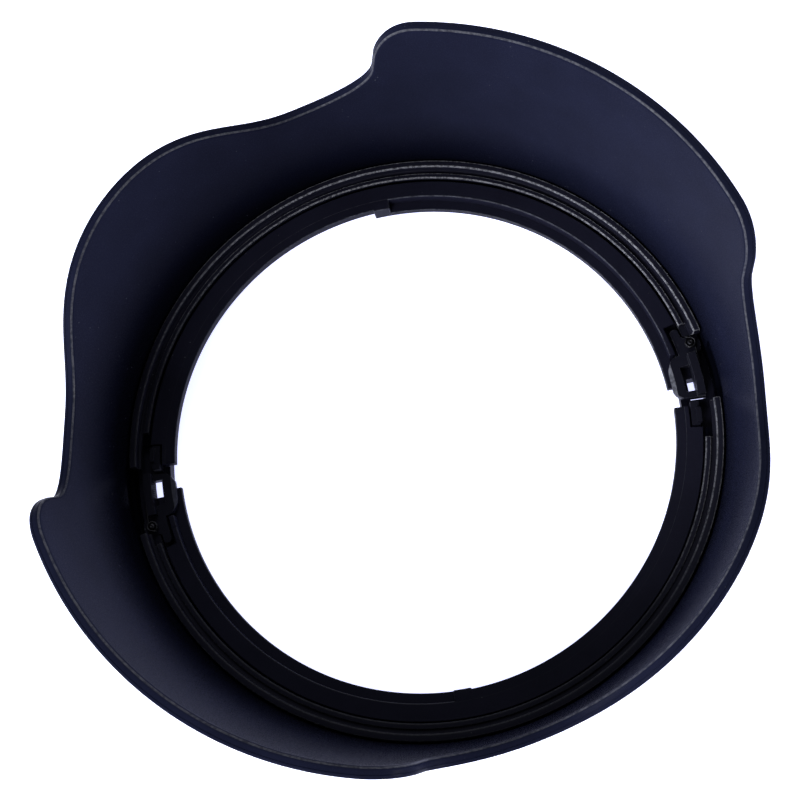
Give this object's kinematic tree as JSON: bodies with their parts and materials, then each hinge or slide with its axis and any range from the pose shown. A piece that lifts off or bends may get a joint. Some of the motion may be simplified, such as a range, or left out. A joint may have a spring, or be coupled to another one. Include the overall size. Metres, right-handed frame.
{
  "type": "petal lens hood",
  "caption": "Petal lens hood with a conical shade, a two-lug bayonet collar and a spring latch with a release button on each side.",
  "frame": {"origin": "centre of the rear face of the collar, on the optical axis", "axes": "+Z along the optical axis towards the front rim; +Y through the middle of one large petal; +X through the middle of one small petal"},
  "size_m": [0.0962, 0.097, 0.038],
  "materials": {
    "shell": "fine-textured matte black polycarbonate with a slight blue cast, edges rubbed lighter",
    "ring": "satin moulded black plastic",
    "baffle": "matte black moulding with bright worn ridge edges",
    "latch": "semi-gloss dark grey acetal",
    "button": "polished black plastic with a ribbed face",
    "steel": "bright spring and screw steel",
    "mark": "off-white paint filling"
  },
  "bodies": {
    "hood": {"hood_shell": "shell", "bayonet_ring": "ring", "baffle_arc_a": "baffle", "pivot_pin_a": "steel", "stop_plate_a": "latch", "baffle_arc_b": "baffle", "pivot_pin_b": "steel", "stop_plate_b": "latch", "ring_screw_1": "steel", "ring_screw_2": "steel", "ring_screw_3": "steel", "ring_screw_4": "steel", "mount_index_mark": "mark", "lock_index_mark": "mark"},
    "lever_a": {"latch_lever_a": "latch", "return_spring_a": "steel"},
    "button_a": {"release_button_a": "button"},
    "lever_b": {"latch_lever_b": "latch", "return_spring_b": "steel"},
    "button_b": {"release_button_b": "button"}
  },
  "joints": [
    {"name": "button_a_press", "type": "slide", "parent": "hood", "child": "button_a", "axis": [-0.4695, -0.8829, 0], "range_m": [0, 0.0012], "stiffness_N_per_m": 900},
    {"name": "lever_a_swing", "type": "hinge", "parent": "hood", "child": "lever_a", "pos_m": [0.02562, 0.03315, 0.0037], "axis": [0, 0, 1], "range_deg": [0, 9.5], "stiffness_Nm_per_rad": 0.03},
    {"name": "button_b_press", "type": "slide", "parent": "hood", "child": "button_b", "axis": [0.4695, 0.8829, 0], "range_m": [0, 0.0012], "stiffness_N_per_m": 900},
    {"name": "lever_b_swing", "type": "hinge", "parent": "hood", "child": "lever_b", "pos_m": [-0.02562, -0.03315, 0.0037], "axis": [0, 0, 1], "range_deg": [0, 9.5], "stiffness_Nm_per_rad": 0.03}
  ],
  "couplings": [
    {"joint": "lever_a_swing", "follows": "button_a_press", "rad_per_m": 138.03},
    {"joint": "lever_b_swing", "follows": "button_b_press", "rad_per_m": 138.03}
  ]
}
